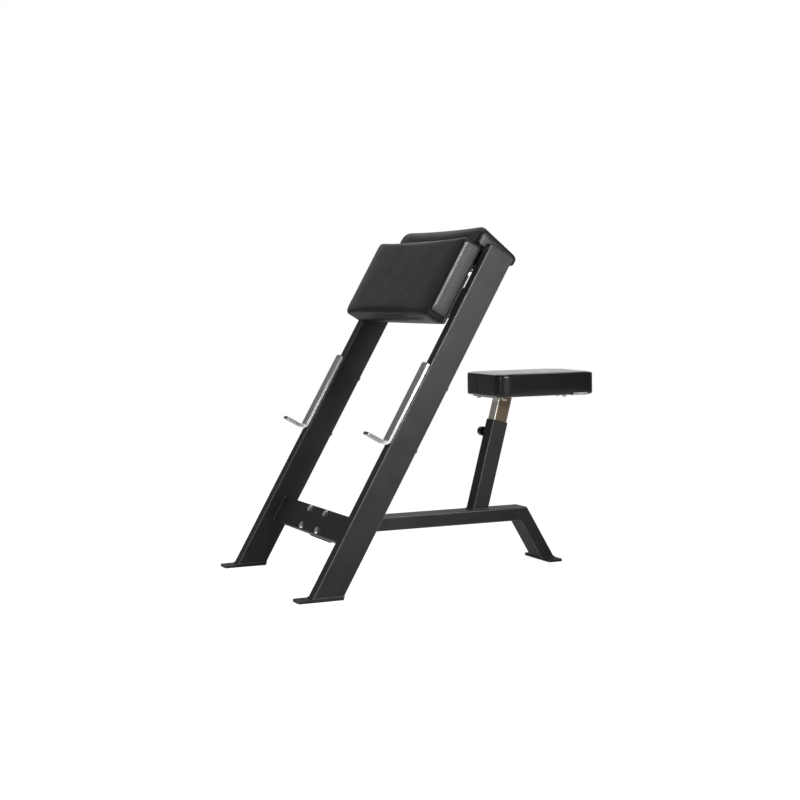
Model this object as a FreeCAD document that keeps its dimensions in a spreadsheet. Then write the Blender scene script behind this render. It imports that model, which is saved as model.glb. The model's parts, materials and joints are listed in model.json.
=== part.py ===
# Preacher curl bench, in millimetres: +Z up, -X the front with the bar rests, +X the rear with the seat.
# +Y is the right hand of a person on the seat. The origin is on the floor under the middle of the bench.
import FreeCAD
import Part
import math
import os
import re
import Sketcher

sizes = {
    # Frame tube of the columns, the two wide cross tubes, the spine and the rear leg
    "tube_depth": 80,
    "tube_width": 40,
    "tube_wall": 3,
    "tube_corner": 5,
    # Columns: heights up a column start where its front face would meet the floor
    "column_lean": 30,
    "column_gap": 600,
    "column_top": 1108,
    # Plastic caps in the column tops
    "cap_head": 6,
    "cap_round": 4,
    "cap_insert": 24,
    "plug_clearance": 0.3,
    # Foot plates
    "foot_thickness": 8,
    "foot_length": 132,
    "foot_width": 50,
    "foot_toe": 37,
    "foot_corner": 4,
    "foot_hole": 13,
    "foot_hole_edge": 18,
    "rear_foot_length": 46,
    "rear_foot_width": 160,
    "rear_foot_heel": 5,
    "rear_hole_edge": 14,
    # Lower cross tube, spine and rear leg
    "cross_setback": 36,
    "flange_thickness": 8,
    "flange_width": 160,
    "flange_height": 84,
    "flange_corner": 6,
    "spine_bolt_spread": 124,
    "spine_bolt_rise": 54,
    "beam_top": 170,
    "beam_end": 824,
    "leg_slope": 60,
    # Bolts of the frame
    "bolt_diameter": 10,
    "bolt_hole": 11,
    "bolt_across": 17,
    "bolt_head": 7,
    "nut_height": 8.5,
    "washer_diameter": 21,
    "washer_thickness": 2,
    "bolt_spare": 3,
    "thread_fit": 0.05,
    # Bolts of the pads
    "pad_bolt_diameter": 8,
    "pad_bolt_hole": 9,
    "pad_bolt_across": 13,
    "pad_bolt_head": 5.5,
    "pad_bolt_short": 2,
    # Seat sleeve and its plastic bush
    "sleeve_size": 50,
    "sleeve_wall": 2,
    "sleeve_corner": 4,
    "sleeve_lean": 15,
    "sleeve_foot": 671.5,
    "bush_lip": 3,
    "bush_depth": 60,
    "slide_clearance": 0.1,
    # Seat post, which slides in the bush
    "post_size": 44,
    "post_wall": 2.5,
    "post_corner": 4,
    "post_shown": 78,
    "post_insert": 165,
    "post_plug_head": 4,
    "post_plug_insert": 20,
    "index_pitch": 30,
    "index_hole": 11,
    # Pull pin that locks the post
    "pin_drop": 35,
    "pin_diameter": 10,
    "pin_fit": 0.1,
    "pin_travel": 10,
    "pin_stand_off": 0.6,
    "pin_nose": 1.5,
    "pin_collar_thickness": 3,
    "pin_collar_play": 1.5,
    "housing_diameter": 20,
    "housing_length": 27,
    "housing_end": 4,
    "spring_bore": 14,
    "spring_wire": 1.2,
    "spring_play": 0.3,
    "knob_diameter": 29,
    "knob_length": 28,
    "knob_round": 8,
    "knob_edge": 2,
    "knob_neck_diameter": 17,
    "knob_neck": 4,
    "knob_gap": 0.5,
    "knob_socket": 20,
    # Boards and edges of the three pads
    "board_thickness": 12,
    "board_corner": 20,
    "board_margin": 18,
    "board_clearance": 0.3,
    "pad_edge": 8,
    # Seat
    "seat_under": 508,
    "seat_plate_thickness": 6,
    "seat_plate_width": 72,
    "seat_plate_corner": 3,
    "seat_front_inset": 20,
    "seat_rear_inset": 40,
    "seat_strap_depth": 28,
    "seat_strap_inset": 20,
    "seat_bolt_edge": 15,
    "seat_lead": 71.6,
    "seat_length": 330,
    "seat_width": 240,
    "seat_corner": 30,
    "seat_height": 66,
    "seat_crown": 5,
    # Arm pad in front of the columns and what carries it
    "arm_back": 8,
    "arm_bottom": 849,
    "arm_height": 253,
    "arm_width": 612,
    "arm_corner": 25,
    "arm_depth": 55,
    "arm_crown": 7,
    "arm_plate_thickness": 8,
    "arm_plate_side": 8,
    "arm_plate_lift": 6,
    "arm_plate_drop": 91,
    "arm_plate_corner": 6,
    "arm_bolt_edge": 20,
    "arm_bolt_end": 60,
    # Top pad between the columns and its cross tube
    "top_tube_size": 40,
    "top_tube_wall": 2.5,
    "top_tube_corner": 4,
    "top_base": 1103,
    "top_lead": 18,
    "top_depth": 136,
    "top_side_gap": 18.5,
    "top_corner": 25,
    "top_front_height": 59,
    "top_fall": 10,
    "top_crown": 7,
    "top_bolt_end": 90,
    # Bar rests on the columns
    "rest_width": 38,
    "rest_thickness": 8,
    "rest_backing": 3,
    "rest_backing_margin": 2,
    "rest_bottom": 473,
    "rest_height": 257,
    "rest_reach": 74,
    "rest_bend": 8,
    "rest_tip_corner": 5,
    "rest_screw_low": 500,
    "rest_screw_high": 695,
    "rest_thread_depth": 6,
    "rest_bolt_short": 1,
    "dome_diameter": 18,
    "dome_height": 5.5,
    "dome_flat": 9,
    "dome_socket_across": 6,
    "dome_socket_depth": 3,
    # How far a cutting shape runs past what it cuts
    "overrun": 5,
}

# Places that follow from the sizes
places = {
    "column_y": "(column_gap + tube_width) / 2",
    "top_width": "column_gap - 2 * top_side_gap",
    "beam_mid": "beam_top - tube_width / 2",
    "cross_rear": "cross_setback + tube_width",
    "flange_rear": "cross_rear + flange_thickness",
    "cross_height": "(beam_mid + flange_rear * sin(column_lean)) / cos(column_lean)",
    "leg_back_x": "beam_end + (beam_top - foot_thickness) / tan(leg_slope)",
    "rear_foot_x": "leg_back_x - tube_width / sin(leg_slope) / 2 + rear_foot_heel",
    "post_rise": "(seat_under - beam_top) / cos(sleeve_lean)",
    "sleeve_length": "post_rise - post_shown",
    "post_bottom": "sleeve_length - post_insert",
    "pin_height": "sleeve_length - pin_drop",
    "seat_front_x": "sleeve_foot + (seat_under - beam_top) * tan(sleeve_lean) - seat_lead",
    "seat_middle_x": "seat_front_x + seat_length / 2",
    "seat_strap_width": "seat_width - 2 * seat_strap_inset",
    "seat_strap_x": "seat_front_x + seat_front_inset + seat_strap_depth / 2",
    "seat_plate_front": "seat_front_x + seat_front_inset + seat_strap_depth",
    "seat_plate_length": "seat_front_x + seat_length - seat_rear_inset - seat_plate_front",
    "seat_plate_x": "seat_plate_front + seat_plate_length / 2",
    "seat_base": "seat_under + seat_plate_thickness",
    "origin_x": "(foot_toe - seat_front_x - seat_length) / 2",
    "pin_tip": "post_size / 2 + pin_stand_off",
    "housing_out": "sleeve_size / 2 + housing_length",
    "collar_in": "sleeve_size / 2 + pin_collar_play + pin_travel",
    "knob_in": "housing_out + pin_travel + knob_gap + knob_neck",
    "arm_middle": "arm_bottom + arm_height / 2",
    "arm_plate_width": "arm_width - 2 * arm_plate_side",
    "arm_plate_height": "arm_height - arm_plate_lift - arm_plate_drop",
    "arm_plate_middle": "arm_bottom + arm_plate_lift + arm_plate_height / 2",
    "arm_tube_front": "arm_plate_thickness - arm_back",
    "top_middle": "top_depth / 2 - top_lead",
    "rest_front": "rest_backing + rest_thickness",
}

# Holes of the post below and above the one that the pin meets in the pictured setting
index_below = 3
index_above = 2

# Turns of the lock spring
spring_turns = 3

# Side of a cushion from base to seam: share of the height, share of the edge by which it is drawn in
side_shares = ((0.0, 0.45), (0.1, 0.1), (0.5, 0.0), (0.9, 0.1), (1.0, 0.45))

# Crown of a cushion above its seam: share of the crown, of the half width drawn in, and of the corner
crown_shares = ((0.62, 0.24, 0.8), (1.0, 0.55, 0.6))

doc = FreeCAD.newDocument("PreacherBench")
sheet = doc.addObject("Spreadsheet::Sheet", "Dims")
cells = [(name, str(size)) for name, size in sizes.items()]
cells += [(name, "=" + formula) for name, formula in places.items()]
for row, (name, content) in enumerate(cells, start=1):
    sheet.set(f"A{row}", name)
    sheet.set(f"B{row}", content)
    sheet.setAlias(f"B{row}", name)
doc.recompute()

names = {name for name, content in cells}
nodes = []


def bound(formula):
    # The same formula with every size and place taken from the sheet
    return re.sub(r"[a-z]\w*", lambda word: "Dims." + word[0] if word[0] in names else word[0], formula)


def value(formula):
    return float(sheet.evalExpression(bound(formula)))


def place(item, x="0", z="0", lean=None):
    # Set an object down at x and z, leaning about the Y axis
    item.setExpression("Placement.Base.x", bound(x))
    item.setExpression("Placement.Base.z", bound(z))
    if lean:
        turn = FreeCAD.Rotation(FreeCAD.Vector(0, 1, 0), value(lean))
        item.Placement = FreeCAD.Placement(FreeCAD.Vector(), turn)
        item.setExpression("Placement.Rotation.Angle", bound(lean))


def new_body(label, frame):
    body = doc.addObject("PartDesign::Body", label)
    place(body, *frame)
    nodes.append(body)
    return body


# Frames in which the pieces are drawn
floor_frame = ("origin_x",)
column_frame = ("origin_x", "0", "column_lean")
leg_frame = ("origin_x + beam_end", "beam_top", "leg_slope")
sleeve_frame = ("origin_x + sleeve_foot", "beam_top", "sleeve_lean")


def new_sketch(body, plane, lift="0", tilt=None):
    # A sketch on one of the body's own planes, lifted along its normal and tilted about its second axis
    sketch = body.newObject("Sketcher::SketchObject", body.Label + "_sketch")
    planes = [item for item in body.Origin.OriginFeatures if item.Role == plane + "_Plane"]
    sketch.AttachmentSupport = [(planes[0], "")]
    sketch.MapMode = "FlatFace"
    if tilt:
        turn = FreeCAD.Rotation(FreeCAD.Vector(0, 1, 0), value(tilt))
        sketch.AttachmentOffset = FreeCAD.Placement(FreeCAD.Vector(), turn)
        sketch.setExpression("AttachmentOffset.Rotation.Angle", bound(tilt))
    sketch.setExpression("AttachmentOffset.Base.z", bound(lift))
    return sketch


def drive(sketch, kind, where, formula):
    # A measured constraint that follows a formula
    number = sketch.addConstraint(Sketcher.Constraint(kind, *where, value(formula)))
    name = f"c{number}"
    sketch.renameConstraint(number, name)
    sketch.setExpression("Constraints." + name, bound(formula))


def at_point(sketch, item, end, x, y):
    drive(sketch, "DistanceX", (-1, 1, item, end), x)
    drive(sketch, "DistanceY", (-1, 1, item, end), y)


def polygon(sketch, points):
    first = sketch.GeometryCount
    corners = [FreeCAD.Vector(value(x), value(y), 0) for x, y in points]
    count = len(points)
    for k in range(count):
        sketch.addGeometry(Part.LineSegment(corners[k], corners[(k + 1) % count]))
    for k in range(count):
        sketch.addConstraint(Sketcher.Constraint("Coincident", first + k, 2, first + (k + 1) % count, 1))
    for k, (x, y) in enumerate(points):
        at_point(sketch, first + k, 1, x, y)


def circle(sketch, x, y, diameter):
    item = sketch.GeometryCount
    centre = FreeCAD.Vector(value(x), value(y), 0)
    sketch.addGeometry(Part.Circle(centre, FreeCAD.Vector(0, 0, 1), value(diameter) / 2))
    drive(sketch, "Diameter", (item,), diameter)
    at_point(sketch, item, 3, x, y)


def rounded_rectangle(sketch, across, up, corner, x="0", y="0"):
    # Four sides and four quarter arcs, tangent to each other all the way round
    half_across = value(across) / 2
    half_up = value(up) / 2
    radius = value(corner)
    middle = FreeCAD.Vector(value(x), value(y), 0)
    first = sketch.GeometryCount
    turns = ((1, -1), (1, 1), (-1, 1), (-1, -1))
    across_in = half_across - radius
    up_in = half_up - radius
    centres = [middle + FreeCAD.Vector(a * across_in, b * up_in, 0) for a, b in turns]
    quarter = FreeCAD.Rotation(FreeCAD.Vector(0, 0, 1), 90)
    outward = FreeCAD.Vector(0, -radius, 0)
    for k in range(4):
        side = Part.LineSegment(centres[k - 1] + outward, centres[k] + outward)
        sketch.addGeometry(side)
        start = outward
        outward = quarter.multVec(outward)
        halfway = (start + outward).normalize() * radius
        sketch.addGeometry(Part.Arc(centres[k] + start, centres[k] + halfway, centres[k] + outward))
    for k in range(8):
        sketch.addConstraint(Sketcher.Constraint("Tangent", first + k, 2, first + (k + 1) % 8, 1))
    for k, kind in enumerate(("Horizontal", "Vertical", "Horizontal", "Vertical")):
        sketch.addConstraint(Sketcher.Constraint(kind, first + 2 * k))
    for k in (3, 5, 7):
        sketch.addConstraint(Sketcher.Constraint("Equal", first + 1, first + k))
    drive(sketch, "Radius", (first + 1,), corner)
    drive(sketch, "DistanceX", (first + 6, 1, first + 2, 1), across)
    drive(sketch, "DistanceY", (first, 1, first + 4, 1), up)
    drive(sketch, "DistanceX", (-1, 1, first + 6, 1), f"{x} - ({across}) / 2")
    drive(sketch, "DistanceY", (-1, 1, first, 1), f"{y} - ({up}) / 2")


def pad(body, sketch, length, both=False, back=False):
    feature = body.newObject("PartDesign::Pad", sketch.Name + "_pad")
    feature.Profile = sketch
    feature.setExpression("Length", bound(length))
    feature.SideType = "Symmetric" if both else "One side"
    feature.Reversed = back
    return feature


def cut_through(body, sketch, both=True):
    feature = body.newObject("PartDesign::Pocket", sketch.Name + "_cut")
    feature.Profile = sketch
    feature.Type = "ThroughAll"
    feature.SideType = "Symmetric" if both else "One side"
    return feature


def cut_depth(body, sketch, depth):
    # A pocket that runs the same depth to both sides of its sketch
    feature = body.newObject("PartDesign::Pocket", sketch.Name + "_cut")
    feature.Profile = sketch
    feature.SideType = "Symmetric"
    feature.setExpression("Length", bound(f"2 * ({depth})"))
    return feature


def dress(body, kind, size_name, formula, wanted):
    # A fillet or chamfer on the edges of the body's last feature that pass a test
    doc.recompute()
    base = body.Tip
    chosen = [f"Edge{k}" for k, edge in enumerate(base.Shape.Edges, start=1) if wanted(edge)]
    feature = body.newObject("PartDesign::" + kind, body.Label + "_" + kind.lower())
    feature.Base = (base, chosen)
    feature.setExpression(size_name, bound(formula))
    return feature


def near(one, other):
    return abs(one - other) < value("overrun") / 1000


def edge_middle(edge):
    # Middle of an edge in the frame in which its body is drawn
    first, last = edge.ParameterRange
    return edge.valueAt((first + last) / 2)


def ring(sketch, across, up, corner, wall, x="0", y="0"):
    # Section of a rectangular tube
    rounded_rectangle(sketch, across, up, corner, x, y)
    inside = [f"{side} - 2 * {wall}" for side in (across, up)]
    rounded_rectangle(sketch, *inside, f"{corner} - {wall}", x, y)


def column(label, side):
    body = new_body(label, column_frame)
    section = new_sketch(body, "XY")
    middle = ("tube_depth / 2", f"{side} * column_y")
    ring(section, "tube_depth", "tube_width", "tube_corner", "tube_wall", *middle)
    pad(body, section, "column_top")
    floor_cut = new_sketch(body, "XZ")
    far = "(tube_depth + overrun)"
    polygon(floor_cut, (
        ("-overrun", "-overrun"),
        (far, "-overrun"),
        (far, f"(foot_thickness + {far} * sin(column_lean)) / cos(column_lean)"),
        ("-overrun", "(foot_thickness - overrun * sin(column_lean)) / cos(column_lean)"),
    ))
    cut_through(body, floor_cut)
    screw_holes = new_sketch(body, "YZ")
    for height in ("rest_screw_low", "rest_screw_high"):
        circle(screw_holes, f"{side} * column_y", height, "bolt_hole")
    cut_through(body, screw_holes)


def column_cap(label, side):
    body = new_body(label, column_frame)
    middle = ("tube_depth / 2", f"{side} * column_y")
    insert = new_sketch(body, "XY", "column_top - cap_insert")
    inside = [f"{across} - 2 * tube_wall - 2 * plug_clearance" for across in ("tube_depth", "tube_width")]
    rounded_rectangle(insert, *inside, "tube_corner - tube_wall", *middle)
    pad(body, insert, "cap_insert")
    head = new_sketch(body, "XY", "column_top")
    rounded_rectangle(head, "tube_depth", "tube_width", "tube_corner", *middle)
    pad(body, head, "cap_head")
    top = value("column_top + cap_head")
    dress(body, "Fillet", "Radius", "cap_round", lambda edge: near(edge_middle(edge).z, top))


def foot_plate(label, side):
    body = new_body(label, floor_frame)
    outline = new_sketch(body, "XY")
    y = f"{side} * column_y"
    rounded_rectangle(outline, "foot_length", "foot_width", "foot_corner", "foot_length / 2 - foot_toe", y)
    circle(outline, "foot_hole_edge - foot_toe", y, "foot_hole")
    pad(body, outline, "foot_thickness")


def cross_tube(label, front, height, depth, rise, corner, wall):
    # A tube between the columns; front is the depth of its front face behind the columns' front faces
    body = new_body(label, column_frame)
    section = new_sketch(body, "XZ")
    ring(section, depth, rise, corner, wall, f"{front} + {depth} / 2", height)
    pad(body, section, "column_gap", both=True)
    return body


def spine_bolt_places():
    spots = []
    for across in ("-spine_bolt_spread / 2", "spine_bolt_spread / 2"):
        for up in ("cross_height - spine_bolt_rise / 2", "cross_height + spine_bolt_rise / 2"):
            spots.append((across, up))
    return spots


def lower_cross_tube():
    body = cross_tube(
        "cross_tube", "cross_setback", "cross_height", "tube_width", "tube_depth",
        "tube_corner", "tube_wall")
    holes = new_sketch(body, "YZ")
    for across, up in spine_bolt_places():
        circle(holes, across, up, "bolt_hole")
    cut_through(body, holes)


def spine_flange():
    body = new_body("spine_flange", column_frame)
    outline = new_sketch(body, "YZ", "cross_rear")
    rounded_rectangle(outline, "flange_width", "flange_height", "flange_corner", "0", "cross_height")
    for across, up in spine_bolt_places():
        circle(outline, across, up, "bolt_hole")
    pad(body, outline, "flange_thickness")


def spine_beam():
    body = new_body("spine_beam", floor_frame)
    section = new_sketch(body, "YZ")
    ring(section, "tube_depth", "tube_width", "tube_corner", "tube_wall", "0", "beam_mid")
    pad(body, section, "beam_end")
    low = "(beam_top - tube_width - overrun)"
    high = "(beam_top + overrun)"
    ends = new_sketch(body, "XZ")
    polygon(ends, (
        ("-overrun", low),
        (f"(flange_rear + {low} * sin(column_lean)) / cos(column_lean)", low),
        (f"(flange_rear + {high} * sin(column_lean)) / cos(column_lean)", high),
        ("-overrun", high),
    ))
    polygon(ends, (
        ("beam_end - (tube_width + overrun) * tan(leg_slope / 2)", low),
        ("beam_end + 2 * overrun", low),
        ("beam_end + 2 * overrun", high),
        ("beam_end + overrun * tan(leg_slope / 2)", high),
    ))
    cut_through(body, ends)


def rear_leg():
    # Drawn from the outer corner of the mitre, with X down the leg
    body = new_body("rear_leg", leg_frame)
    section = new_sketch(body, "YZ")
    ring(section, "tube_depth", "tube_width", "tube_corner", "tube_wall", "0", "-tube_width / 2")
    pad(body, section, "beam_top / sin(leg_slope)")
    low = "(-tube_width - overrun)"
    ends = new_sketch(body, "XZ")
    polygon(ends, (
        ("-overrun", low),
        (f"-{low} * tan(leg_slope / 2)", low),
        ("-overrun * tan(leg_slope / 2)", "overrun"),
        ("-overrun", "overrun"),
    ))
    past = "beam_top / sin(leg_slope) + overrun"
    polygon(ends, (
        (f"(beam_top - foot_thickness + {low} * cos(leg_slope)) / sin(leg_slope)", low),
        (past, low),
        (past, "overrun"),
        ("(beam_top - foot_thickness + overrun * cos(leg_slope)) / sin(leg_slope)", "overrun"),
    ))
    cut_through(body, ends)


def rear_foot_plate():
    body = new_body("rear_foot_plate", floor_frame)
    outline = new_sketch(body, "XY")
    rounded_rectangle(outline, "rear_foot_length", "rear_foot_width", "foot_corner", "rear_foot_x")
    for side in ("-1", "1"):
        circle(outline, "rear_foot_x", f"{side} * (rear_foot_width / 2 - rear_hole_edge)", "foot_hole")
    pad(body, outline, "foot_thickness")


def pin_hole(body, diameter, heights):
    # Holes in the right-hand wall only, square to it
    holes = new_sketch(body, "XZ")
    for height in heights:
        circle(holes, "0", height, diameter)
    cut_through(body, holes, both=False)


def seat_sleeve():
    body = new_body("seat_sleeve", sleeve_frame)
    section = new_sketch(body, "XY", "-sleeve_size / 2")
    ring(section, "sleeve_size", "sleeve_size", "sleeve_corner", "sleeve_wall")
    pad(body, section, "sleeve_length + sleeve_size / 2")
    reach = "(sleeve_size / 2 + overrun)"
    foot = new_sketch(body, "XZ")
    polygon(foot, (
        (f"-{reach}", "-sleeve_size"),
        (reach, "-sleeve_size"),
        (reach, f"{reach} * tan(sleeve_lean)"),
        (f"-{reach}", f"-{reach} * tan(sleeve_lean)"),
    ))
    cut_through(body, foot)
    pin_hole(body, "pin_diameter + 2 * pin_fit", ["pin_height"])


def sleeve_bush():
    body = new_body("sleeve_bush", sleeve_frame)
    opening = ("post_size + 2 * slide_clearance", "post_size + 2 * slide_clearance", "post_corner")
    outside = "sleeve_size - 2 * sleeve_wall"
    insert = new_sketch(body, "XY", "sleeve_length - bush_depth")
    rounded_rectangle(insert, outside, outside, "sleeve_corner - sleeve_wall")
    rounded_rectangle(insert, *opening)
    pad(body, insert, "bush_depth")
    lip = new_sketch(body, "XY", "sleeve_length")
    rounded_rectangle(lip, "sleeve_size", "sleeve_size", "sleeve_corner")
    rounded_rectangle(lip, *opening)
    pad(body, lip, "bush_lip")
    pin_hole(body, "pin_diameter + 2 * pin_fit", ["pin_height"])


def seat_post():
    body = new_body("seat_post", sleeve_frame)
    section = new_sketch(body, "XY", "post_bottom")
    ring(section, "post_size", "post_size", "post_corner", "post_wall")
    pad(body, section, "post_rise + post_size - post_bottom")
    reach = "(post_size / 2 + overrun)"
    top = new_sketch(body, "XZ")
    polygon(top, (
        (f"-{reach}", f"post_rise - {reach} * tan(sleeve_lean)"),
        (reach, f"post_rise + {reach} * tan(sleeve_lean)"),
        (reach, "post_rise + 2 * post_size"),
        (f"-{reach}", "post_rise + 2 * post_size"),
    ))
    cut_through(body, top)
    steps = range(-index_above, index_below + 1)
    pin_hole(body, "index_hole", [f"pin_height - ({step}) * index_pitch" for step in steps])


def post_plug():
    body = new_body("post_plug", sleeve_frame)
    head = new_sketch(body, "XY", "post_bottom - post_plug_head")
    rounded_rectangle(head, "post_size", "post_size", "post_corner")
    pad(body, head, "post_plug_head")
    inside = "post_size - 2 * post_wall - 2 * plug_clearance"
    insert = new_sketch(body, "XY", "post_bottom")
    rounded_rectangle(insert, inside, inside, "post_corner - post_wall")
    pad(body, insert, "post_plug_insert")


def turned(body, start, length, diameter, bore=None):
    # A round length on the pin's axis, from its start to the right
    section = new_sketch(body, "XZ", f"-({start})")
    circle(section, "0", "pin_height", diameter)
    if bore:
        circle(section, "0", "pin_height", bore)
    pad(body, section, length, back=True)


def lock_housing():
    body = new_body("lock_housing", sleeve_frame)
    turned(body, "sleeve_size / 2", "housing_length - housing_end", "housing_diameter", "spring_bore")
    pin_bore = "pin_diameter + 2 * pin_fit"
    turned(body, "housing_out - housing_end", "housing_end", "housing_diameter", pin_bore)


def lock_pin():
    body = new_body("lock_pin", sleeve_frame)
    turned(body, "pin_tip", "knob_in - knob_neck + knob_socket - pin_tip", "pin_diameter")
    turned(body, "collar_in", "pin_collar_thickness", "spring_bore - 2 * pin_fit")
    tip = value("pin_tip")
    dress(body, "Chamfer", "Size", "pin_nose", lambda edge: near(edge_middle(edge).y, tip))


def lock_knob():
    body = new_body("lock_knob", sleeve_frame)
    turned(body, "knob_in", "knob_length", "knob_diameter")
    outer = value("knob_in + knob_length")
    inner = value("knob_in")
    dress(body, "Fillet", "Radius", "knob_round", lambda edge: near(edge_middle(edge).y, outer))
    dress(body, "Fillet", "Radius", "knob_edge", lambda edge: near(edge_middle(edge).y, inner))
    turned(body, "knob_in - knob_neck", "knob_neck", "knob_neck_diameter")
    socket = new_sketch(body, "XZ", "knob_neck - knob_in")
    circle(socket, "0", "pin_height", "pin_diameter + 2 * thread_fit")
    cut_depth(body, socket, "knob_socket")


def lock_spring():
    # A coil pressed together between the pin's collar and the closed end of the housing
    start = value("collar_in + pin_collar_thickness + spring_play + spring_wire / 2")
    rise = value("housing_out - housing_end - spring_play - spring_wire / 2") - start
    radius = value("(pin_diameter + spring_bore) / 4")
    height = value("pin_height")
    quarters = 4 * spring_turns

    def on_coil(quarter):
        turn = math.pi / 2 * quarter
        across = FreeCAD.Vector(math.cos(turn), 0, math.sin(turn)) * radius
        return across + FreeCAD.Vector(0, start + rise * quarter / quarters, height)

    arcs = []
    for k in range(quarters):
        arcs.append(Part.Arc(on_coil(k), on_coil(k + 0.5), on_coil(k + 1)).toShape())
    heading = arcs[0].tangentAt(arcs[0].FirstParameter)
    round_wire = Part.Wire(Part.makeCircle(value("spring_wire") / 2, on_coil(0), heading))
    spring = doc.addObject("Part::Feature", "lock_spring")
    spring.Shape = Part.Wire(arcs).makePipeShell([round_wire], True, False)
    place(spring, *sleeve_frame)
    nodes.append(spring)


def cushion(body, plane, base, height, crown, length, width, corner, middle, way=1):
    # Rounded outlines stacked from the base over bulging sides to the seam, and on over the crown
    def outline(rise, draw, round_share):
        section = new_sketch(body, plane, f"{base} + ({way}) * ({rise})")
        sides = [f"{side} - 2 * ({draw})" for side in (length, width)]
        rounded_rectangle(section, *sides, f"{round_share} * {corner}", *middle)
        return section

    sides = [outline(f"{rise} * {height}", f"{draw} * pad_edge", 1) for rise, draw in side_shares]
    loft(body, sides)
    crowns = [sides[-1]]
    for rise, draw, round_share in crown_shares:
        drawn_in = f"pad_edge + {draw} * {width} / 2"
        crowns.append(outline(f"{height} + {rise} * {crown}", drawn_in, round_share))
    loft(body, crowns)


def loft(body, sections):
    feature = body.newObject("PartDesign::AdditiveLoft", body.Label + "_loft")
    feature.Profile = sections[0]
    feature.Sections = sections[1:]
    feature.Ruled = False


def board_recess(body, plane, base, length, width, middle):
    # Pocket in a cushion's back that takes its board
    recess = new_sketch(body, plane, base)
    sides = [f"{side} - 2 * board_margin + 2 * board_clearance" for side in (length, width)]
    rounded_rectangle(recess, *sides, "board_corner", *middle)
    cut_depth(body, recess, "board_thickness + board_clearance")


def pad_board(label, frame, plane, base, length, width, middle, bolts, back=False):
    body = new_body(label, frame)
    outline = new_sketch(body, plane, base)
    sides = [f"{side} - 2 * board_margin" for side in (length, width)]
    rounded_rectangle(outline, *sides, "board_corner", *middle)
    for x, y in bolts:
        circle(outline, x, y, "pad_bolt_hole")
    pad(body, outline, "board_thickness", back=back)


def seat_bolt_places():
    strap = []
    plate = []
    for side in ("-1", "1"):
        strap.append(("seat_strap_x", f"{side} * (seat_strap_width / 2 - seat_bolt_edge)"))
        rear = "seat_plate_front + seat_plate_length - seat_bolt_edge"
        plate.append((rear, f"{side} * (seat_plate_width / 2 - seat_bolt_edge)"))
    return strap, plate


def seat_bar(label, length, width, x, bolts):
    body = new_body(label, floor_frame)
    outline = new_sketch(body, "XY", "seat_under")
    rounded_rectangle(outline, length, width, "seat_plate_corner", x)
    for spot in bolts:
        circle(outline, *spot, "pad_bolt_hole")
    pad(body, outline, "seat_plate_thickness")


def seat():
    strap, plate = seat_bolt_places()
    seat_bar("seat_strap", "seat_strap_depth", "seat_strap_width", "seat_strap_x", strap)
    seat_bar("seat_plate", "seat_plate_length", "seat_plate_width", "seat_plate_x", plate)
    middle = ("seat_middle_x", "0")
    outside = ("seat_length", "seat_width")
    pad_board("seat_board", floor_frame, "XY", "seat_base", *outside, middle, strap + plate)
    body = new_body("seat_cushion", floor_frame)
    cushion(body, "XY", "seat_base", "seat_height", "seat_crown", *outside, "seat_corner", middle)
    board_recess(body, "XY", "seat_base", *outside, middle)


def arm_bolt_places():
    spots = []
    for side in ("-1", "1"):
        for end in ("-1", "1"):
            y = f"{side} * (arm_plate_width / 2 - arm_bolt_end)"
            spots.append((y, f"arm_plate_middle + {end} * (arm_plate_height / 2 - arm_bolt_edge)"))
    return spots


def arm_pad():
    cross_tube(
        "arm_pad_tube", "arm_tube_front", "arm_plate_middle", "tube_width", "tube_depth",
        "tube_corner", "tube_wall")
    plate = new_body("arm_pad_plate", column_frame)
    outline = new_sketch(plate, "YZ", "-arm_back")
    rounded_rectangle(
        outline, "arm_plate_width", "arm_plate_height", "arm_plate_corner", "0", "arm_plate_middle")
    for y, up in arm_bolt_places():
        circle(outline, y, up, "pad_bolt_hole")
    pad(plate, outline, "arm_plate_thickness")
    middle = ("0", "arm_middle")
    outside = ("arm_width", "arm_height")
    bolts = arm_bolt_places()
    pad_board("arm_pad_board", column_frame, "YZ", "-arm_back", *outside, middle, bolts, back=True)
    body = new_body("arm_pad_cushion", column_frame)
    cushion(body, "YZ", "-arm_back", "arm_depth", "arm_crown", *outside, "arm_corner", middle, way=-1)
    board_recess(body, "YZ", "-arm_back", *outside, middle)


def top_bolt_places():
    return [("top_middle", f"{side} * (top_width / 2 - top_bolt_end)") for side in ("-1", "1")]


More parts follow.
